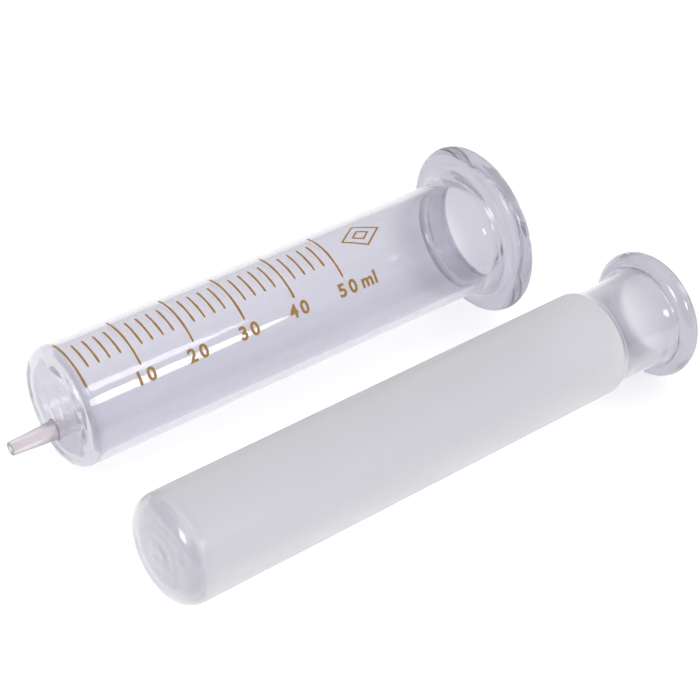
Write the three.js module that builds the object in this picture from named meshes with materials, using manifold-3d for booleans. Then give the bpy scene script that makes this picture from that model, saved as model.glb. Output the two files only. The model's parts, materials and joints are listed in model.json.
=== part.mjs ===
// A 50 ml all-glass syringe, taken apart: the graduated barrel and the ground plunger lie side by side.
// Millimetres, +Z up. The barrel's axis runs along +X from its nozzle to its flange, and -Y is the side
// that the scale faces. Each piece rests on the table with its heel and its rim, so its axis is tilted.
import * as THREE from 'three';
import { mergeVertices } from 'three/addons/utils/BufferGeometryUtils.js';
import Module from 'manifold-3d';

// Barrel: a tube closed by a flat bottom and opened out into a thick round-edged flange.
const BARREL_RADIUS = 16.2;
const BARREL_WALL = 1.8;
const BARREL_BOTTOM = 3.0;
const BARREL_HEEL = 3.6;
const BARREL_INNER_HEEL = 3.0;
const FLANGE_RADIUS = 24.0;
const FLANGE_BEAD = 3.0;
const FLANGE_CENTRE = 133.2;
const MOUTH_ROUND = 3.6;
const BORE_RADIUS = BARREL_RADIUS - BARREL_WALL;
const BARREL_LENGTH = FLANGE_CENTRE + FLANGE_BEAD;

// Nozzle: a ground conical tip fused to the bottom, below the barrel's axis, with a fine channel.
const NOZZLE_LENGTH = 12.4;
const NOZZLE_OFFSET = 6.2;
const NOZZLE_TIP_RADIUS = 1.85;
const NOZZLE_ROOT_RADIUS = 2.45;
const NOZZLE_COLLAR_RADIUS = 2.9;
const NOZZLE_COLLAR_LENGTH = 2.0;
const NOZZLE_CHANNEL = 0.75;
const NOZZLE_TIP_CHAMFER = 0.25;
const FUSED_SEAM = 0.3;

// Scale: fired enamel lines every 2 ml up to 50 ml, longer at every 10 ml. Angles run from the top of
// the barrel towards -Y. The spacing follows from the bore: 50 ml fills 76.8 mm of it.
const SCALE_VOLUME = 50;
const SCALE_STEP = 2;
const SCALE_LONG_STEP = 10;
const SCALE_START = 4.3;
const SCALE_LENGTH = SCALE_VOLUME * 1000 / (Math.PI * BORE_RADIUS ** 2);
const LONG_LINE = [-23.0, 37.5];
const SHORT_LINE = [-9.5, 21.0];
const LINE_WIDTH = 0.45;
const LINE_HEIGHT = 0.15;
const LINE_GAP = 0.1;
const LINE_SEGMENT_DEGREES = 6;

// Plunger: a hollow tube closed in front, ground to fit the bore, with a clear neck and an open bell.
const PLUNGER_CLEARANCE = 0.07;
const PLUNGER_RADIUS = BORE_RADIUS - PLUNGER_CLEARANCE;
const PLUNGER_WALL = 1.8;
const PLUNGER_FRONT = 2.2;
const PLUNGER_HEEL = 5.0;
const PLUNGER_INNER_HEEL = 4.0;
const PLUNGER_BODY_END = 137.3;
const SHOULDER_ROUND = 1.25;
const NECK_RADIUS = PLUNGER_RADIUS - SHOULDER_ROUND;
const NECK_WALL = 1.9;
const NECK_END = 146.5;
const BELL_RADIUS = 17.8;
const BELL_BEAD = 3.0;
const BELL_CENTRE = 160.15;
const BELL_MOUTH_RADIUS = 14.2;

// Layout: where the plunger's front end lies beside the barrel's bottom, and its turn about the vertical.
const PLUNGER_X = -4.35;
const PLUNGER_Y = -55.2;
const PLUNGER_YAW = THREE.MathUtils.degToRad(2.45);

const LATHE_SEGMENTS = 48;
const NOZZLE_SEGMENTS = 24;

const clearGlass = new THREE.MeshStandardMaterial({
  color: 0xd6d6e6, roughness: 0.03, metalness: 0, transparent: true, opacity: 0.4,
});
const groundGlass = new THREE.MeshStandardMaterial({ color: 0xcfcfd4, roughness: 0.75, metalness: 0 });
const nozzleGlass = new THREE.MeshStandardMaterial({ color: 0xd9ccd2, roughness: 0.5, metalness: 0 });
const enamel = new THREE.MeshStandardMaterial({ color: 0xb5783a, roughness: 0.45, metalness: 0 });

const wasm = await Module();
wasm.setup();

// Points of a round stretch of a profile, in (radius, distance along the axis), ends included.
function arc(centreRadius, centreAlong, radius, fromDegrees, toDegrees, steps) {
  return Array.from({ length: steps + 1 }, (_, i) => {
    const angle = THREE.MathUtils.degToRad(fromDegrees + (toDegrees - fromDegrees) * i / steps);
    return new THREE.Vector2(centreRadius + radius * Math.cos(angle), centreAlong + radius * Math.sin(angle));
  });
}

function point(radius, along) {
  return new THREE.Vector2(radius, along);
}

// A solid of revolution about +X from its profile, which starts and ends on the axis or closes on itself.
function turned(profile, segments) {
  return new THREE.LatheGeometry(profile, segments).rotateZ(-Math.PI / 2);
}

function toManifold(geometry) {
  const bare = geometry.clone();
  bare.deleteAttribute('normal');
  bare.deleteAttribute('uv');
  const merged = mergeVertices(bare, 1e-4);
  const corners = merged.index.array;
  const kept = [];
  for (let i = 0; i < corners.length; i += 3) {
    const [a, b, c] = [corners[i], corners[i + 1], corners[i + 2]];
    if (a !== b && b !== c && c !== a) kept.push(a, b, c);
  }
  return new wasm.Manifold(new wasm.Mesh({
    numProp: 3,
    vertProperties: merged.attributes.position.array,
    triVerts: Uint32Array.from(kept),
  }));
}

function fromManifold(solid) {
  const mesh = solid.getMesh();
  const geometry = new THREE.BufferGeometry();
  geometry.setAttribute('position', new THREE.BufferAttribute(Float32Array.from(mesh.vertProperties), 3));
  geometry.setIndex(new THREE.BufferAttribute(Uint32Array.from(mesh.triVerts), 1));
  geometry.computeVertexNormals();
  return geometry;
}

// The tilt of a piece that rests on its rounded heel and on its rim's bead: both touch one plane.
function restingTilt(heel, rim) {
  const run = rim.along - heel.along;
  const rise = rim.centreRadius - heel.centreRadius;
  return Math.atan2(rise, run) + Math.asin((rim.round - heel.round) / Math.hypot(run, rise));
}

// The height of the axis above the table at distance 0 along it, for the same piece.
function restingHeight(heel, tilt) {
  return heel.round + heel.centreRadius * Math.cos(tilt) - heel.along * Math.sin(tilt);
}

function barrelGeometry() {
  const filletRadius = FLANGE_RADIUS - FLANGE_BEAD - BARREL_RADIUS;
  const filletStart = FLANGE_CENTRE - FLANGE_BEAD - filletRadius;
  const profile = [
    point(0, 0),
    ...arc(BARREL_RADIUS - BARREL_HEEL, BARREL_HEEL, BARREL_HEEL, -90, 0, 5),
    ...arc(BARREL_RADIUS + filletRadius, filletStart, filletRadius, 180, 90, 5),
    ...arc(FLANGE_RADIUS - FLANGE_BEAD, FLANGE_CENTRE, FLANGE_BEAD, -90, 90, 8).slice(1),
    ...arc(BORE_RADIUS + MOUTH_ROUND, BARREL_LENGTH - MOUTH_ROUND, MOUTH_ROUND, 90, 180, 4),
    ...arc(BORE_RADIUS - BARREL_INNER_HEEL, BARREL_BOTTOM + BARREL_INNER_HEEL, BARREL_INNER_HEEL, 0, -90, 4),
    point(0, BARREL_BOTTOM),
  ];
  const channel = new THREE.CylinderGeometry(NOZZLE_CHANNEL, NOZZLE_CHANNEL, 3 * BARREL_BOTTOM, 16)
    .rotateZ(-Math.PI / 2)
    .translate(BARREL_BOTTOM / 2, 0, -NOZZLE_OFFSET);
  return fromManifold(toManifold(turned(profile, LATHE_SEGMENTS)).subtract(toManifold(channel)));
}

// The nozzle points along -X from its root, which is at 0.
function nozzleGeometry() {
  const root = new THREE.QuadraticBezierCurve(
    point(NOZZLE_COLLAR_RADIUS, 0.4),
    point(NOZZLE_ROOT_RADIUS, 0.5),
    point(NOZZLE_ROOT_RADIUS, NOZZLE_COLLAR_LENGTH),
  );
  const profile = [
    point(NOZZLE_CHANNEL, 0),
    point(NOZZLE_COLLAR_RADIUS, 0),
    ...root.getPoints(4),
    point(NOZZLE_TIP_RADIUS, NOZZLE_LENGTH - NOZZLE_TIP_CHAMFER),
    point(NOZZLE_TIP_RADIUS - NOZZLE_TIP_CHAMFER, NOZZLE_LENGTH),
    point(NOZZLE_CHANNEL, NOZZLE_LENGTH),
    point(NOZZLE_CHANNEL, 0),
  ];
  return turned(profile, NOZZLE_SEGMENTS).rotateZ(Math.PI);
}

// One enamel line: a thin band on the outside of the barrel between two angles, centred on x = 0.
function lineGeometry([fromDegrees, toDegrees]) {
  const inner = BARREL_RADIUS + LINE_GAP;
  const from = Math.PI + THREE.MathUtils.degToRad(fromDegrees);
  const to = Math.PI + THREE.MathUtils.degToRad(toDegrees);
  const band = new THREE.Shape();
  band.absarc(0, 0, inner + LINE_HEIGHT, from, to, false);
  band.absarc(0, 0, inner, to, from, true);
  const curveSegments = Math.ceil((toDegrees - fromDegrees) / LINE_SEGMENT_DEGREES);
  return new THREE.ExtrudeGeometry(band, { depth: LINE_WIDTH, bevelEnabled: false, curveSegments })
    .translate(0, 0, -LINE_WIDTH / 2)
    .rotateY(Math.PI / 2);
}

function plungerGeometry() {
  const hollow = PLUNGER_RADIUS - PLUNGER_WALL;
  const neckBore = NECK_RADIUS - NECK_WALL;
  const beadRadius = BELL_RADIUS - BELL_BEAD;
  const bellBack = BELL_CENTRE - BELL_BEAD;
  const bellEnd = BELL_CENTRE + BELL_BEAD;
  const flare = new THREE.QuadraticBezierCurve(
    point(NECK_RADIUS, NECK_END), point(NECK_RADIUS, bellBack), point(beadRadius, bellBack),
  );
  const mouth = new THREE.QuadraticBezierCurve(
    point(BELL_MOUTH_RADIUS, bellEnd), point(neckBore, bellEnd), point(neckBore, bellBack - 2 * BELL_BEAD),
  );
  const profile = [
    point(0, 0),
    ...arc(PLUNGER_RADIUS - PLUNGER_HEEL, PLUNGER_HEEL, PLUNGER_HEEL, -90, 0, 5),
    ...arc(NECK_RADIUS, PLUNGER_BODY_END, SHOULDER_ROUND, 0, 90, 3),
    ...flare.getPoints(5),
    ...arc(beadRadius, BELL_CENTRE, BELL_BEAD, -90, 90, 8).slice(1),
    ...mouth.getPoints(5),
    point(neckBore, PLUNGER_BODY_END + SHOULDER_ROUND),
    point(hollow, PLUNGER_BODY_END - SHOULDER_ROUND),
    ...arc(hollow - PLUNGER_INNER_HEEL, PLUNGER_FRONT + PLUNGER_INNER_HEEL, PLUNGER_INNER_HEEL, 0, -90, 4),
    point(0, PLUNGER_FRONT),
  ];
  return turned(profile, LATHE_SEGMENTS);
}

function named(name, geometry, material) {
  const mesh = new THREE.Mesh(geometry, material);
  mesh.name = name;
  return mesh;
}

function barrelGroup() {
  const heel = { along: BARREL_HEEL, centreRadius: BARREL_RADIUS - BARREL_HEEL, round: BARREL_HEEL };
  const rim = { along: FLANGE_CENTRE, centreRadius: FLANGE_RADIUS - FLANGE_BEAD, round: FLANGE_BEAD };
  const tilt = restingTilt(heel, rim);
  const group = new THREE.Group();
  group.position.z = restingHeight(heel, tilt);
  group.rotation.y = -tilt;

  const nozzle = named('nozzle', nozzleGeometry(), nozzleGlass);
  nozzle.position.set(-FUSED_SEAM, 0, -NOZZLE_OFFSET);
  group.add(named('barrel', barrelGeometry(), clearGlass), nozzle);

  for (let volume = 0; volume <= SCALE_VOLUME; volume += SCALE_STEP) {
    const span = volume % SCALE_LONG_STEP === 0 ? LONG_LINE : SHORT_LINE;
    const line = named(`scale_line_${String(volume).padStart(2, '0')}`, lineGeometry(span), enamel);
    line.position.x = SCALE_START + SCALE_LENGTH * volume / SCALE_VOLUME;
    group.add(line);
  }
  return group;
}

function plungerGroup() {
  const heel = { along: PLUNGER_HEEL, centreRadius: PLUNGER_RADIUS - PLUNGER_HEEL, round: PLUNGER_HEEL };
  const rim = { along: BELL_CENTRE, centreRadius: BELL_RADIUS - BELL_BEAD, round: BELL_BEAD };
  const tilt = restingTilt(heel, rim);
  const group = new THREE.Group();
  group.position.set(PLUNGER_X, PLUNGER_Y, restingHeight(heel, tilt));
  group.rotation.set(0, -tilt, PLUNGER_YAW, 'ZYX');
  group.add(named('plunger', plungerGeometry(), groundGlass));
  return group;
}

const syringe = new THREE.Group();
syringe.add(barrelGroup(), plungerGroup());

// The origin is on the table, under the middle of the whole layout.
const bounds = new THREE.Box3().setFromObject(syringe, true);
const middle = bounds.getCenter(new THREE.Vector3());
syringe.position.set(-middle.x, -middle.y, -bounds.min.z);

export default syringe;
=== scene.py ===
import json
import math

import bmesh
import bpy
from mathutils import Matrix, Vector


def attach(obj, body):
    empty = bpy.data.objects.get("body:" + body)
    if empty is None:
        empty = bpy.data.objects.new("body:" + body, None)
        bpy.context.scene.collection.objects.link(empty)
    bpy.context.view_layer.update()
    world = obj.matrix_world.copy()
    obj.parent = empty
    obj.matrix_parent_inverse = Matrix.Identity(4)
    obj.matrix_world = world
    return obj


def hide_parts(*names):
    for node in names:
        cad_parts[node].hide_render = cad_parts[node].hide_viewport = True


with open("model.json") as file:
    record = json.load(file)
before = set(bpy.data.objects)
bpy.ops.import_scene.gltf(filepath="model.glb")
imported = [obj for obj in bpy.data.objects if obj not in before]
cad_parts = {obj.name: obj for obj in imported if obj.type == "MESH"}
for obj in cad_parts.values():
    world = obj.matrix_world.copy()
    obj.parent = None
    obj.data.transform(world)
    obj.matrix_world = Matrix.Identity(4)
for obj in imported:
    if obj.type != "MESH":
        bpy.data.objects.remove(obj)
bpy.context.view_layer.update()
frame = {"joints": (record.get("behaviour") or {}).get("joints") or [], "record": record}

MM = 0.001

# Barrel, in millimetres along and across its own axis, from the outside of its bottom.
BARREL_RADIUS = 16.2
BORE_RADIUS = 14.4
BARREL_BOTTOM = 3.0
BARREL_HEEL = 3.6
BARREL_INNER_HEEL = 3.0
BARREL_SWIRL = (0.14, 2.0, 40)          # height, rings and steps of the closed end's soft rings
BARREL_INNER_SWIRL = (0.16, 1.5, 30)
SWIRL_FADE = (1.2, 0.3)                 # how the rings fade towards the heel, and on the axis
FLANGE_RADIUS = 24.0
FLANGE_BEAD = 3.0
FLANGE_CENTRE = 133.2
MOUTH_ROUND = 3.6
BARREL_LENGTH = FLANGE_CENTRE + FLANGE_BEAD
MOUTH_MOUNT_RADIUS = 19.5
WALL_END_SHARE = 0.02                   # the straight wall's last point, as a share of its length
BORE_SKIN = 0.1                         # how far outside the bore a place still counts as its wall

# Nozzle, along its own axis from its root, which sits below the barrel's axis.
NOZZLE_OFFSET = 6.2
NOZZLE_LENGTH = 12.7
NOZZLE_TIP_RADIUS = 1.85
NOZZLE_ROOT_RADIUS = 2.45
NOZZLE_COLLAR_RADIUS = 2.9
NOZZLE_CHANNEL = 0.75
NOZZLE_COLLAR = (0.35, 0.5, 2.4)        # where the collar's curve starts, bends and ends
NOZZLE_TIP_ROUND = 0.3
NOZZLE_LIP_ROUND = 0.2
NOZZLE_SUNK = 0.05

# Plunger, from the outside of its closed front end.
PLUNGER_RADIUS = 14.33
PLUNGER_WALL = 1.8
PLUNGER_FRONT = 2.2
PLUNGER_HEEL = 5.0
PLUNGER_INNER_HEEL = 4.0
PLUNGER_SWIRL = (0.14, 2.0, 36)
PLUNGER_INNER_SWIRL = (0.18, 1.5, 30)
PLUNGER_BODY_END = 137.3
SHOULDER_ROUND = 1.25
NECK_RADIUS = PLUNGER_RADIUS - SHOULDER_ROUND
NECK_WALL = 1.9
NECK_END = 146.5
BELL_RADIUS = 17.8
BELL_BEAD = 3.0
BELL_CENTRE = 160.15
BELL_MOUTH_RADIUS = 14.2
PLUNGER_LENGTH = BELL_CENTRE + BELL_BEAD
RIM_MOUNT_RADIUS = 14.5
FRONT_GROUND = 0.3                      # how ground the polished front end is
GROUND_FADE = (2.6, 6.2)                # the front's polish fades out over this stretch
GROUND_SKIN = 1.2                       # how far inside the body a place still counts as its outside
GROUND_OVERRUN = 0.9                    # how far the grinding runs on over the shoulder
FRONT_FACE_END = 1.0
HEEL_GROUND_RADIUS = 9.0

# Scale print: angles run from the top of the barrel towards -Y.
SCALE_STEP = 2
SCALE_LONG_STEP = 10
SCALE_VOLUME = 50
SCALE_START = 4.3
SCALE_LENGTH = SCALE_VOLUME * 1000 / (math.pi * BORE_RADIUS ** 2)
LONG_LINE = (-23.0, 37.5)
SHORT_LINE = (-9.5, 21.0)
LINE_WIDTH = 0.62
LINE_STEP = 1.5                         # degrees
LINE_END = 0.03                         # keeps some width at a line's very end
LINE_WAVES = (0.10, 1.7, 9), (0.05, 0.9, 23)     # depth, shift from line to line, waves along a line
PRINT_HEIGHT = 0.03
PRINT_GAP = 0.01
PRINT_SECTION = (-1, 0), (-0.75, 1), (0.75, 1), (1, 0)     # half widths and heights: a flat top, sloped sides
NUMERAL_ANGLE = 49.0
NUMERAL_SIZE = 4.85
NUMERAL_BOLD = 0.16
NUMERAL_SPACING = 1.4
NUMERAL_CUTS = 6                        # cuts along the barrel on each side of the middle, to bend the print
NUMERAL_CUT_STEP = 0.35
NUMERAL_WELD = 1e-5
UNIT_SHIFT = 6.8
UNIT_SPACING = 1.1
MARK_ALONG = 92.7
MARK_ANGLE = 4.4
MARK_DIAGONALS = (11.5, 7.6)
MARK_INNER_SHARE = 0.42
MARK_LINE = 0.5
MARK_STEPS = 6

# The mark depth, which sets the tint: the thin wall's value and what other places add to it.
WALL_DEPTH = 0.5
BOTTOM_DEPTH = 0.2
# Near the mouth the wall is no thicker: the tint added there is painted shade.
MOUTH_SHADE_DEPTH = 0.35
FLANGE_DEPTH = 0.15
MOUTH_SHADE_STRETCH = (FLANGE_CENTRE - 22, FLANGE_CENTRE - 10)
FLANGE_STRETCH = (BARREL_RADIUS, BARREL_RADIUS + 1.5)

RING_STEPS = 192
WALL_STEP = 2.0                         # roughly, along the straight runs of a profile


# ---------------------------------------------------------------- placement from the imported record

def record_mount(name):
    return next(m for m in frame["record"]["mounts"] if m["name"] == name)


def axis_frame(direction, mount, mount_radius, mount_along):
    """The placement of a turned piece: its local X is its axis, its local origin its closed end."""
    along = Vector(direction).normalized()
    across = Vector((0, 0, 1)).cross(along).normalized()
    up = along.cross(across)
    origin = Vector(mount["pos_m"]) - up * mount_radius * MM - along * mount_along * MM
    rotation = Matrix((along, across, up)).transposed()
    return Matrix.Translation(origin) @ rotation.to_4x4()


mouth = record_mount("barrel_mouth")
thumb_rim = record_mount("plunger_thumb_rim")
stroke = next(j for j in frame["joints"] if j["name"] == "plunger_stroke")
BARREL_FRAME = axis_frame(mouth["axis"], mouth, MOUTH_MOUNT_RADIUS, BARREL_LENGTH)
PLUNGER_FRAME = axis_frame(stroke["axis"], thumb_rim, RIM_MOUNT_RADIUS, PLUNGER_LENGTH)


# ---------------------------------------------------------------- camera, floor and light

CAMERA_FROM_BARREL = Vector((-0.2016, -0.3502, 0.3468))
CAMERA_AZIMUTH = math.radians(40.11)
CAMERA_ELEVATION = math.radians(38.61)
CAMERA_ROLL = math.radians(6.05)
CAMERA_LENS = 109.4
KEY_PLACE = Vector((0.235, -0.691, 0.502))
KEY_SIZE = (0.26, 0.21)
KEY_POWER = 1.15
WINDOW_PLACE = Vector((-0.75, -0.24, 0.46))
WINDOW_SIZE = (0.28, 0.32)
WINDOW_POWER = 2.0
OVERHEAD_PLACE = Vector((-0.13, 0.33, 1.3))
OVERHEAD_SIZE = (1.4, 1.4)
OVERHEAD_POWER = 1.6
OPEN_FRONT = Vector((-0.2, -0.95, 0.25))     # the studio's walls are darker on this side
ROOM_SHADES = (0.55, (1, 1, 1, 1)), (0.95, (0.50, 0.50, 0.53, 1))
ROOM_STRENGTH = 0.8
FLOOR_REACH = 6.0
FLOOR_PAINT = (0.80, 0.80, 0.80, 1)
FLOOR_GLOW = 0.37
GLASS_BOUNCES = 80


def make_camera():
    camera = bpy.data.objects.new("camera", bpy.data.cameras.new("camera"))
    bpy.context.scene.collection.objects.link(camera)
    look = Vector((
        math.sin(CAMERA_AZIMUTH) * math.cos(CAMERA_ELEVATION),
        math.cos(CAMERA_AZIMUTH) * math.cos(CAMERA_ELEVATION),
        -math.sin(CAMERA_ELEVATION),
    ))
    right = Vector((math.cos(CAMERA_AZIMUTH), -math.sin(CAMERA_AZIMUTH), 0))
    up = right.cross(look)
    rolled_right = right * math.cos(CAMERA_ROLL) + up * math.sin(CAMERA_ROLL)
    rolled_up = up * math.cos(CAMERA_ROLL) - right * math.sin(CAMERA_ROLL)
    turn = Matrix((rolled_right, rolled_up, -look)).transposed()
    camera.matrix_world = Matrix.Translation(BARREL_FRAME.translation + CAMERA_FROM_BARREL) @ turn.to_4x4()
    camera.data.lens = CAMERA_LENS
    camera.data.sensor_width = 36
    camera.data.clip_start = 0.01
    bpy.context.scene.camera = camera


def shaded(nodes, links, factor, *stops):
    """A colour that runs through the stops, each a position and a colour, as the factor rises."""
    ramp = nodes.new("ShaderNodeValToRGB")
    elements = ramp.color_ramp.elements
    for element, (position, colour) in zip((elements[0], elements[1]), (stops[0], stops[-1])):
        element.position = position
        element.color = colour
    for position, colour in stops[1:-1]:
        elements.new(position).color = colour
    links.new(factor, ramp.inputs["Fac"])
    return ramp.outputs["Color"]


def area_light(name, shape, place, size, power):
    """A soft light that faces the origin."""
    data = bpy.data.lights.new(name, "AREA")
    data.shape = shape
    data.size, data.size_y = size
    data.energy = power
    light = bpy.data.objects.new(name, data)
    bpy.context.scene.collection.objects.link(light)
    light.matrix_world = Matrix.Translation(place) @ place.to_track_quat("Z", "Y").to_matrix().to_4x4()


def make_studio():
    world = bpy.data.worlds.new("studio")
    bpy.context.scene.world = world
    world.use_nodes = True
    nodes, links = world.node_tree.nodes, world.node_tree.links
    coordinates = nodes.new("ShaderNodeTexCoord")
    facing = nodes.new("ShaderNodeVectorMath")
    facing.operation = "DOT_PRODUCT"
    facing.inputs[1].default_value = OPEN_FRONT.normalized()
    links.new(coordinates.outputs["Generated"], facing.inputs[0])
    shade = shaded(nodes, links, facing.outputs["Value"], *ROOM_SHADES)
    links.new(shade, nodes["Background"].inputs["Color"])
    nodes["Background"].inputs["Strength"].default_value = ROOM_STRENGTH

    floor_mesh = bpy.data.meshes.new("floor")
    corners = [(x * FLOOR_REACH, y * FLOOR_REACH, 0) for x, y in ((-1, -1), (1, -1), (1, 1), (-1, 1))]
    floor_mesh.from_pydata(corners, [], [(0, 1, 2, 3)])
    floor = bpy.data.objects.new("floor", floor_mesh)
    bpy.context.scene.collection.objects.link(floor)
    paint = bpy.data.materials.new("floor_paint")
    paint.use_nodes = True
    white = paint.node_tree.nodes["Principled BSDF"]
    white.inputs["Base Color"].default_value = FLOOR_PAINT
    white.inputs["Roughness"].default_value = 0.9
    white.inputs["Specular IOR Level"].default_value = 0.1
    white.inputs["Emission Color"].default_value = (1, 1, 1, 1)
    white.inputs["Emission Strength"].default_value = FLOOR_GLOW
    floor_mesh.materials.append(paint)

    area_light("key", "ELLIPSE", KEY_PLACE, KEY_SIZE, KEY_POWER)
    area_light("window", "RECTANGLE", WINDOW_PLACE, WINDOW_SIZE, WINDOW_POWER)
    area_light("overhead", "RECTANGLE", OVERHEAD_PLACE, OVERHEAD_SIZE, OVERHEAD_POWER)
    bpy.context.scene.view_settings.view_transform = "Standard"
    # A ray that is caught in the tube's wall runs along it to the flange, so it needs many bounces.
    paths = bpy.context.scene.cycles
    paths.max_bounces = paths.glossy_bounces = paths.transmission_bounces = GLASS_BOUNCES


# ---------------------------------------------------------------- materials

GLASS_IOR = 1.47
GROUND_TINT = (0.93, 0.93, 0.95, 1)
THIN_TINT = (0.762, 0.754, 0.803, 1)
THICK_TINT = (0.475, 0.468, 0.54, 1)
NOZZLE_TINT = (0.84, 0.785, 0.815, 1)
CLEAR_SHADOW = (0.97, 0.97, 0.985, 1)        # what lamplight keeps on its way through
GROUND_SHADOW = (0.92, 0.92, 0.93, 1)
CLEAR_ROUGHNESS = 0.03
BORE_ROUGHNESS = 0.06
NOZZLE_ROUGHNESS = 0.35
GROUND_ROUGHNESS = 0.65
POLISH_ROUGHNESS = 0.05
MATT_ROUGHNESS = 0.7
MATT_SHARE = 0.55                            # of the ground surface; the rest is rough glass
MATT_SHADES = (0.3, (0.77, 0.77, 0.79, 1)), (0.7, (0.83, 0.83, 0.85, 1))
ENAMEL_SHADES = (0.3, (0.25, 0.125, 0.015, 1)), (0.72, (0.40, 0.215, 0.03, 1))
ENAMEL_ROUGHNESS = 0.4
# Grains: noise scale, stretch along the object's length, detail, and height in metres.
DRAWN_GRAIN = (90, 12, 1, 0.00004)
NOZZLE_GRAIN = (5000, 1, 3, 0.00003)
GROUND_GRAIN = (4500, 1, 3, 0.00002)
ENAMEL_GRAIN = (2200, 1, 4, 0.00002)


def new_material(name):
    material = bpy.data.materials.new(name)
    material.use_nodes = True
    nodes, links = material.node_tree.nodes, material.node_tree.links
    return material, nodes, links, nodes["Principled BSDF"]


def grain(nodes, links, scale, stretch, detail, distance):
    """A bump from noise in the piece's own coordinates; stretch draws it out along the object's length."""
    coordinates = nodes.new("ShaderNodeTexCoord")
    mapping = nodes.new("ShaderNodeMapping")
    mapping.inputs["Scale"].default_value = (1 / stretch, 1, 1)
    noise = nodes.new("ShaderNodeTexNoise")
    noise.inputs["Scale"].default_value = scale
    noise.inputs["Detail"].default_value = detail
    bump = nodes.new("ShaderNodeBump")
    bump.inputs["Strength"].default_value = 1.0
    bump.inputs["Distance"].default_value = distance
    links.new(coordinates.outputs["Object"], mapping.inputs["Vector"])
    links.new(mapping.outputs["Vector"], noise.inputs["Vector"])
    links.new(noise.outputs["Fac"], bump.inputs["Height"])
    return noise, bump


def let_lamps_through(nodes, links, shader, colour):
    """Lamps' rays pass straight through the glass, tinted, so that it casts a light shadow."""
    path = nodes.new("ShaderNodeLightPath")
    clear = nodes.new("ShaderNodeBsdfTransparent")
    clear.inputs["Color"].default_value = colour
    mix = nodes.new("ShaderNodeMixShader")
    links.new(path.outputs["Is Shadow Ray"], mix.inputs["Fac"])
    links.new(shader, mix.inputs[1])
    links.new(clear.outputs["BSDF"], mix.inputs[2])
    links.new(mix.outputs["Shader"], nodes["Material Output"].inputs["Surface"])


def marked(nodes, name):
    """The number that mark() stores on the mesh under this name."""
    attribute = nodes.new("ShaderNodeAttribute")
    attribute.attribute_name = name
    return attribute.outputs["Fac"]


def ranged(nodes, links, factor, low, high, start=0.0):
    """Low where the factor is at the start or under it, and high where it is 1."""
    span = nodes.new("ShaderNodeMapRange")
    span.inputs["From Min"].default_value = start
    span.inputs["To Min"].default_value = low
    span.inputs["To Max"].default_value = high
    links.new(factor, span.inputs[0])
    return span.outputs[0]


def tint_by_depth(nodes, links):
    """The glass takes its colour from the mark depth: 0 ground, WALL_DEPTH clear and thin, 1 clear thick."""
    tints = (0, GROUND_TINT), (WALL_DEPTH, THIN_TINT), (1, THICK_TINT)
    return shaded(nodes, links, marked(nodes, "depth"), *tints)


def solid_glass(glass):
    glass.inputs["IOR"].default_value = GLASS_IOR
    glass.inputs["Transmission Weight"].default_value = 1.0


def clear_glass():
    material, nodes, links, glass = new_material("clear_glass")
    links.new(tint_by_depth(nodes, links), glass.inputs["Base Color"])
    roughness = ranged(nodes, links, marked(nodes, "bore"), CLEAR_ROUGHNESS, BORE_ROUGHNESS)
    links.new(roughness, glass.inputs["Roughness"])
    solid_glass(glass)
    _, bump = grain(nodes, links, *DRAWN_GRAIN)
    links.new(bump.outputs["Normal"], glass.inputs["Normal"])
    let_lamps_through(nodes, links, glass.outputs["BSDF"], CLEAR_SHADOW)
    return material


def nozzle_glass():
    material, nodes, links, glass = new_material("ground_nozzle")
    glass.inputs["Base Color"].default_value = NOZZLE_TINT
    glass.inputs["Roughness"].default_value = NOZZLE_ROUGHNESS
    solid_glass(glass)
    _, bump = grain(nodes, links, *NOZZLE_GRAIN)
    links.new(bump.outputs["Normal"], glass.inputs["Normal"])
    return material


def plunger_glass():
    """One piece of glass: clear where the mark ground is 0, ground matt where it is 1."""
    material, nodes, links, glass = new_material("plunger_glass")
    ground = marked(nodes, "ground")
    noise, bump = grain(nodes, links, *GROUND_GRAIN)
    links.new(tint_by_depth(nodes, links), glass.inputs["Base Color"])
    roughness = ranged(nodes, links, ground, CLEAR_ROUGHNESS, GROUND_ROUGHNESS)
    links.new(roughness, glass.inputs["Roughness"])
    links.new(bump.outputs["Normal"], glass.inputs["Normal"])
    solid_glass(glass)

    matt = nodes.new("ShaderNodeBsdfPrincipled")
    links.new(shaded(nodes, links, noise.outputs["Fac"], *MATT_SHADES), matt.inputs["Base Color"])
    links.new(bump.outputs["Normal"], matt.inputs["Normal"])
    matt.inputs["Roughness"].default_value = MATT_ROUGHNESS
    # The polished front end is half ground under its gloss, and the body has no gloss.
    polish = ranged(nodes, links, ground, 1.0, 0.0, start=FRONT_GROUND)
    for shader in (glass, matt):
        links.new(polish, shader.inputs["Coat Weight"])
        shader.inputs["Coat Roughness"].default_value = POLISH_ROUGHNESS

    finish = nodes.new("ShaderNodeMixShader")
    links.new(ranged(nodes, links, ground, 0.0, MATT_SHARE), finish.inputs["Fac"])
    links.new(glass.outputs["BSDF"], finish.inputs[1])
    links.new(matt.outputs["BSDF"], finish.inputs[2])
    let_lamps_through(nodes, links, finish.outputs["Shader"], GROUND_SHADOW)
    return material


def enamel():
    material, nodes, links, paint = new_material("fired_enamel")
    noise, bump = grain(nodes, links, *ENAMEL_GRAIN)
    links.new(shaded(nodes, links, noise.outputs["Fac"], *ENAMEL_SHADES), paint.inputs["Base Color"])
    links.new(bump.outputs["Normal"], paint.inputs["Normal"])
    paint.inputs["Roughness"].default_value = ENAMEL_ROUGHNESS
    return material


# ---------------------------------------------------------------- turned glass

def arc(centre_along, centre_radius, radius, start, end, steps):
    """Points of a round stretch of a profile, as (along, radius). 0 degrees points away from the axis."""
    points = []
    for step in range(steps + 1):
        angle = math.radians(start + (end - start) * step / steps)
        points.append((centre_along + radius * math.sin(angle), centre_radius + radius * math.cos(angle)))
    return points


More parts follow.
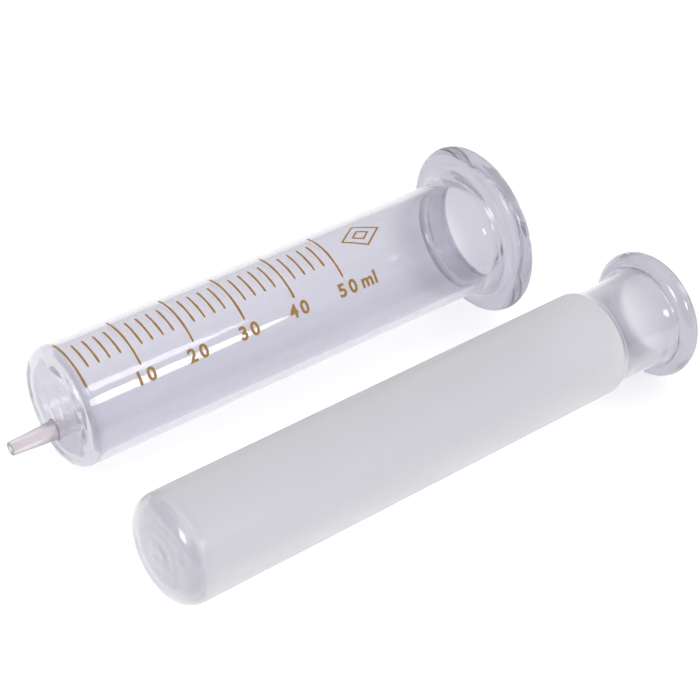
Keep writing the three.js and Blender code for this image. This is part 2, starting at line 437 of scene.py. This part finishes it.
def straight(start, end, steps):
    """Points between two profile points, both left out."""
    return [
        (start[0] + (end[0] - start[0]) * step / steps, start[1] + (end[1] - start[1]) * step / steps)
        for step in range(1, steps)
    ]


def curve(start, control, end, steps):
    points = []
    for step in range(steps + 1):
        t = step / steps
        points.append(tuple(
            start[i] * (1 - t) ** 2 + 2 * control[i] * t * (1 - t) + end[i] * t * t for i in (0, 1)
        ))
    return points


def joined(*stretches):
    """One profile from its round stretches, with straight runs filled in between them."""
    points = list(stretches[0])
    for stretch in stretches[1:]:
        length = math.dist(points[-1], stretch[0])
        points += straight(points[-1], stretch[0], max(1, round(length / WALL_STEP)))
        points += stretch if length > 1e-6 else stretch[1:]
    return points


def swirled_face(radius, along, height, rings, steps):
    """A flat end face with the soft rings left where the tube was drawn shut, from the axis outwards."""
    to_heel, on_axis = SWIRL_FADE
    points = []
    for step in range(steps + 1):
        share = step / steps
        fade = (1 - share) ** to_heel * share ** on_axis
        ripple = height * fade * math.cos(2 * math.pi * rings * share)
        points.append((along + ripple, radius * share))
    return points


def closed_mesh(name, vertices, faces):
    """A mesh whose faces all point out."""
    mesh = bpy.data.meshes.new(name)
    mesh.from_pydata(vertices, [], faces)
    solid = bmesh.new()
    solid.from_mesh(mesh)
    bmesh.ops.recalc_face_normals(solid, faces=solid.faces)
    solid.to_mesh(mesh)
    solid.free()
    return mesh


def placed(name, mesh, placement):
    piece = bpy.data.objects.new(name, mesh)
    bpy.context.scene.collection.objects.link(piece)
    piece.matrix_world = placement
    return piece


def turned(name, profile, placement, closed=False):
    """A closed solid of revolution about local X. A profile that isn't closed starts and ends on the axis."""
    vertices, faces = [], []
    rows = []
    for along, radius in profile:
        if radius < 1e-9:
            rows.append([len(vertices)] * RING_STEPS)
            vertices.append((along * MM, 0, 0))
            continue
        row = []
        for step in range(RING_STEPS):
            angle = 2 * math.pi * step / RING_STEPS
            row.append(len(vertices))
            vertices.append((along * MM, radius * MM * math.cos(angle), radius * MM * math.sin(angle)))
        rows.append(row)
    if closed:
        rows.append(rows[0])
    for first, second in zip(rows, rows[1:]):
        for step in range(RING_STEPS):
            after = (step + 1) % RING_STEPS
            corners = [first[step], first[after], second[after], second[step]]
            faces.append(list(dict.fromkeys(corners)))
    mesh = closed_mesh(name, vertices, faces)
    mesh.shade_smooth()
    return placed(name, mesh, placement)


def cut(piece, tool):
    """Takes the tool's solid out of the piece and deletes the tool."""
    modifier = piece.modifiers.new("cut", "BOOLEAN")
    modifier.operation = "DIFFERENCE"
    modifier.solver = "EXACT"
    modifier.object = tool
    bpy.context.view_layer.update()
    depsgraph = bpy.context.evaluated_depsgraph_get()
    mesh = bpy.data.meshes.new_from_object(piece.evaluated_get(depsgraph))
    piece.modifiers.clear()
    piece.data = mesh
    bpy.data.objects.remove(tool)


def make_barrel():
    fillet = FLANGE_RADIUS - FLANGE_BEAD - BARREL_RADIUS
    fillet_start = FLANGE_CENTRE - FLANGE_BEAD - fillet
    flat_outside = BARREL_RADIUS - BARREL_HEEL
    flat_inside = BORE_RADIUS - BARREL_INNER_HEEL
    outside = [
        swirled_face(flat_outside, 0, *BARREL_SWIRL),
        arc(BARREL_HEEL, flat_outside, BARREL_HEEL, -90, 0, 12)[1:],
        [(fillet_start - (fillet_start - BARREL_HEEL) * WALL_END_SHARE, BARREL_RADIUS)],
        arc(fillet_start, BARREL_RADIUS + fillet, fillet, 180, 90, 10),
        arc(FLANGE_CENTRE, FLANGE_RADIUS - FLANGE_BEAD, FLANGE_BEAD, -90, 90, 24)[1:],
    ]
    inside = [
        arc(BARREL_LENGTH - MOUTH_ROUND, BORE_RADIUS + MOUTH_ROUND, MOUTH_ROUND, 90, 180, 12),
        arc(BARREL_BOTTOM + BARREL_INNER_HEEL, flat_inside, BARREL_INNER_HEEL, 0, -90, 10),
        swirled_face(flat_inside, BARREL_BOTTOM, *BARREL_INNER_SWIRL)[-2::-1],
    ]
    barrel = turned("barrel_glass", joined(*outside, *inside), BARREL_FRAME)
    drill_profile = joined(
        [(-BARREL_BOTTOM, 0)], [(-BARREL_BOTTOM, NOZZLE_CHANNEL)],
        [(2 * BARREL_BOTTOM, NOZZLE_CHANNEL)], [(2 * BARREL_BOTTOM, 0)],
    )
    drill = turned("drill", drill_profile, BARREL_FRAME @ Matrix.Translation((0, 0, -NOZZLE_OFFSET * MM)))
    cut(barrel, drill)
    mark(barrel.data, "depth", barrel_depth)
    mark(barrel.data, "bore", barrel_bore)
    return barrel


def make_nozzle():
    """Its local X points away from the barrel, from the root."""
    start, bend, end = NOZZLE_COLLAR
    tip, lip = NOZZLE_TIP_ROUND, NOZZLE_LIP_ROUND
    profile = joined(
        [(-NOZZLE_SUNK, NOZZLE_CHANNEL)], [(-NOZZLE_SUNK, NOZZLE_COLLAR_RADIUS)],
        curve((start, NOZZLE_COLLAR_RADIUS), (bend, NOZZLE_ROOT_RADIUS), (end, NOZZLE_ROOT_RADIUS), 12),
        arc(NOZZLE_LENGTH - tip, NOZZLE_TIP_RADIUS - tip, tip, 0, 90, 5),
        arc(NOZZLE_LENGTH - lip, NOZZLE_CHANNEL + lip, lip, 90, 180, 4),
    )
    placement = (
        BARREL_FRAME
        @ Matrix.Translation((0, 0, -NOZZLE_OFFSET * MM))
        @ Matrix.Rotation(math.pi, 4, "Z")
    )
    return turned("nozzle_glass", profile, placement, closed=True)


def make_plunger():
    hollow = PLUNGER_RADIUS - PLUNGER_WALL
    flat_outside = PLUNGER_RADIUS - PLUNGER_HEEL
    flat_inside = hollow - PLUNGER_INNER_HEEL
    neck_bore = NECK_RADIUS - NECK_WALL
    bead_radius = BELL_RADIUS - BELL_BEAD
    bell_back = BELL_CENTRE - BELL_BEAD
    profile = joined(
        swirled_face(flat_outside, 0, *PLUNGER_SWIRL),
        arc(PLUNGER_HEEL, flat_outside, PLUNGER_HEEL, -90, 0, 14)[1:],
        arc(PLUNGER_BODY_END, NECK_RADIUS, SHOULDER_ROUND, 0, 90, 8),
        curve((NECK_END, NECK_RADIUS), (bell_back, NECK_RADIUS), (bell_back, bead_radius), 16),
        arc(BELL_CENTRE, bead_radius, BELL_BEAD, -90, 90, 24)[1:],
        curve((PLUNGER_LENGTH, BELL_MOUTH_RADIUS), (PLUNGER_LENGTH, neck_bore),
              (bell_back - 2 * BELL_BEAD, neck_bore), 16),
        curve((PLUNGER_BODY_END + SHOULDER_ROUND, neck_bore),
              (PLUNGER_BODY_END, (neck_bore + hollow) / 2), (PLUNGER_BODY_END - SHOULDER_ROUND, hollow), 6),
        arc(PLUNGER_FRONT + PLUNGER_INNER_HEEL, flat_inside, PLUNGER_INNER_HEEL, 0, -90, 10),
        swirled_face(flat_inside, PLUNGER_FRONT, *PLUNGER_INNER_SWIRL)[-2::-1],
    )
    plunger = turned("plunger_glass", profile, PLUNGER_FRAME)
    mark(plunger.data, "ground", plunger_ground)
    mark(plunger.data, "depth", plunger_depth)
    return plunger


def smooth_step(value, start, end):
    share = min(1, max(0, (value - start) / (end - start)))
    return share * share * (3 - 2 * share)


def mark(mesh, name, value):
    """Stores value(along, radius), in millimetres of the turned piece, as a number on every vertex."""
    attribute = mesh.attributes.new(name, "FLOAT", "POINT")
    for index, vertex in enumerate(mesh.vertices):
        along = vertex.co.x / MM
        radius = math.hypot(vertex.co.y, vertex.co.z) / MM
        attribute.data[index].value = value(along, radius)


def barrel_depth(along, radius):
    """Thin in the wall, thick in the flange, in between at the bottom; darker near the mouth, where the wall
    is no thicker, as painted shade.
    """
    bottom = 1 - smooth_step(along, BARREL_BOTTOM, BARREL_BOTTOM + BARREL_INNER_HEEL)
    # Painted shade: the plain wall is tinted darker towards the mouth.
    mouth_shade = smooth_step(along, *MOUTH_SHADE_STRETCH)
    flange = smooth_step(radius, *FLANGE_STRETCH)
    return WALL_DEPTH + BOTTOM_DEPTH * bottom + MOUTH_SHADE_DEPTH * mouth_shade + FLANGE_DEPTH * flange


def barrel_bore(along, radius):
    """1 on the wall of the bore, which is finely ground, and 0 elsewhere."""
    return float(radius < BORE_RADIUS + BORE_SKIN and along > BARREL_BOTTOM + BARREL_INNER_HEEL)


def plunger_ground(along, radius):
    """The body's outside is ground up to the shoulder, and less and less over the heel to the front.

    The inside of the heel counts as the heel.
    """
    front_face = along < FRONT_FACE_END
    body = radius > PLUNGER_RADIUS - GROUND_SKIN
    heel = along < PLUNGER_HEEL and radius > HEEL_GROUND_RADIUS
    if along > PLUNGER_BODY_END + GROUND_OVERRUN or not (front_face or body or heel):
        return 0
    return FRONT_GROUND + (1 - FRONT_GROUND) * smooth_step(along, *GROUND_FADE)


def plunger_depth(along, radius):
    """Lightest where it is ground, thin in the neck, thick in the bell."""
    if along < PLUNGER_BODY_END:
        return 1.0 - plunger_ground(along, radius)
    return WALL_DEPTH + (1 - WALL_DEPTH) * smooth_step(along, PLUNGER_BODY_END, BELL_CENTRE)


# ---------------------------------------------------------------- enamel print

def on_barrel(along, degrees, height):
    """A point on the outside of the barrel, in the barrel's own coordinates, in metres."""
    angle = math.radians(degrees)
    radius = (BARREL_RADIUS + PRINT_GAP + height) * MM
    return Vector((along * MM, -radius * math.sin(angle), radius * math.cos(angle)))


def scale_line(volume):
    """One line of the scale: a thin band round the barrel with soft ends and a slightly uneven width."""
    start, end = LONG_LINE if volume % SCALE_LONG_STEP == 0 else SHORT_LINE
    centre = SCALE_START + SCALE_LENGTH * volume / SCALE_VOLUME
    steps = max(10, round((end - start) / LINE_STEP))
    vertices, faces = [], []
    for step in range(steps + 1):
        share = step / steps
        from_end = min(share, 1 - share) * (end - start) * math.pi / 180 * BARREL_RADIUS
        taper = math.sqrt(1 - (1 - min(1, (from_end + LINE_END) / (LINE_WIDTH / 2))) ** 2)
        uneven = 1
        for depth, shift, waves in LINE_WAVES:
            uneven += depth * math.sin(volume * shift + share * waves)
        half = LINE_WIDTH / 2 * taper * uneven
        angle = start + (end - start) * share
        for across, height in PRINT_SECTION:
            vertices.append(on_barrel(centre + across * half, angle, height * PRINT_HEIGHT))
    for step in range(steps):
        for side in range(4):
            after = (side + 1) % 4
            faces.append((4 * step + side, 4 * step + after, 4 * step + 4 + after, 4 * step + 4 + side))
    faces.append((0, 3, 2, 1))
    faces.append(tuple(4 * steps + side for side in range(4)))
    name = f"scale_line_{volume:02d}_enamel"
    return placed(name, closed_mesh(name, vertices, faces), BARREL_FRAME)


def lettering(name, text, along, spacing):
    """Numerals or the unit, wrapped on the barrel so that they read along its axis."""
    words = bpy.data.curves.new(name, "FONT")
    words.body = text
    words.size = NUMERAL_SIZE
    words.align_x, words.align_y = "CENTER", "CENTER"
    words.extrude = PRINT_HEIGHT / 2
    words.offset = NUMERAL_BOLD
    words.resolution_u = 6
    words.space_character = spacing
    flat = bpy.data.objects.new(name, words)
    bpy.context.scene.collection.objects.link(flat)
    bpy.context.view_layer.update()
    mesh = bpy.data.meshes.new_from_object(flat.evaluated_get(bpy.context.evaluated_depsgraph_get()))
    bpy.data.objects.remove(flat)
    solid = bmesh.new()
    solid.from_mesh(mesh)
    bmesh.ops.remove_doubles(solid, verts=solid.verts, dist=NUMERAL_WELD)
    for step in range(-NUMERAL_CUTS, NUMERAL_CUTS + 1):
        everything = solid.verts[:] + solid.edges[:] + solid.faces[:]
        place = (0, step * NUMERAL_CUT_STEP, 0)
        bmesh.ops.bisect_plane(solid, geom=everything, plane_co=place, plane_no=(0, 1, 0))
    for vertex in solid.verts:
        x, y, z = vertex.co
        degrees = NUMERAL_ANGLE - math.degrees(y / BARREL_RADIUS)
        vertex.co = on_barrel(along + x, degrees, z + PRINT_HEIGHT / 2)
    bmesh.ops.recalc_face_normals(solid, faces=solid.faces)
    solid.to_mesh(mesh)
    solid.free()
    return placed(name, mesh, BARREL_FRAME)


def rhombus(name, along, degrees, diagonals):
    """A plain rhombus outline, the one mark beside the scale. Its long diagonal runs along the barrel."""
    half_long, half_short = diagonals[0] / 2, diagonals[1] / 2
    grow = MARK_LINE / 2 * math.hypot(half_long, half_short) / (half_long * half_short)
    corners = [(1, 0), (0, 1), (-1, 0), (0, -1), (1, 0)]
    vertices, faces = [], []
    for first, second in zip(corners, corners[1:]):
        for step in range(MARK_STEPS):
            share = step / MARK_STEPS
            x = half_long * (first[0] + (second[0] - first[0]) * share)
            y = half_short * (first[1] + (second[1] - first[1]) * share)
            for side, height in PRINT_SECTION:
                scale = 1 + side * grow
                turn = math.degrees(y * scale / BARREL_RADIUS)
                vertices.append(on_barrel(along + x * scale, degrees + turn, height * PRINT_HEIGHT))
    rows = 4 * MARK_STEPS
    for row in range(rows):
        following = (row + 1) % rows
        for side in range(4):
            after = (side + 1) % 4
            faces.append((4 * row + side, 4 * row + after, 4 * following + after, 4 * following + side))
    return placed(name, closed_mesh(name, vertices, faces), BARREL_FRAME)


# ---------------------------------------------------------------- the object

def settle(piece, material, body, slot, *nodes):
    """Turns the mesh itself into the frame's axes, so that its box fits closely, and hands the piece over."""
    piece.data.transform(piece.matrix_world)
    piece.matrix_world = Matrix.Identity(4)
    piece.data.materials.clear()
    piece.data.materials.append(material)
    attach(piece, body)
    if nodes:
        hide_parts(*nodes)


make_camera()
make_studio()

settle(make_barrel(), clear_glass(), "barrel", "clear_glass", "barrel")
settle(make_nozzle(), nozzle_glass(), "barrel", "ground_nozzle", "nozzle")
settle(make_plunger(), plunger_glass(), "plunger", "ground_glass", "plunger")

print_finish = enamel()
for scale_volume in range(0, SCALE_VOLUME + 1, SCALE_STEP):
    settle(scale_line(scale_volume), print_finish, "barrel", "fired_enamel", f"scale_line_{scale_volume:02d}")
for scale_volume in range(SCALE_LONG_STEP, SCALE_VOLUME + 1, SCALE_LONG_STEP):
    place = SCALE_START + SCALE_LENGTH * scale_volume / SCALE_VOLUME
    numeral = lettering(f"numeral_{scale_volume}", str(scale_volume), place, NUMERAL_SPACING)
    settle(numeral, print_finish, "barrel", "fired_enamel")
unit = lettering("unit_ml", "ml", SCALE_START + SCALE_LENGTH + UNIT_SHIFT, UNIT_SPACING)
settle(unit, print_finish, "barrel", "fired_enamel")
for name, share in (("mark_outer", 1), ("mark_inner", MARK_INNER_SHARE)):
    diagonals = [diagonal * share for diagonal in MARK_DIAGONALS]
    settle(rhombus(name, MARK_ALONG, MARK_ANGLE, diagonals), print_finish, "barrel", "fired_enamel")

bpy.context.view_layer.update()
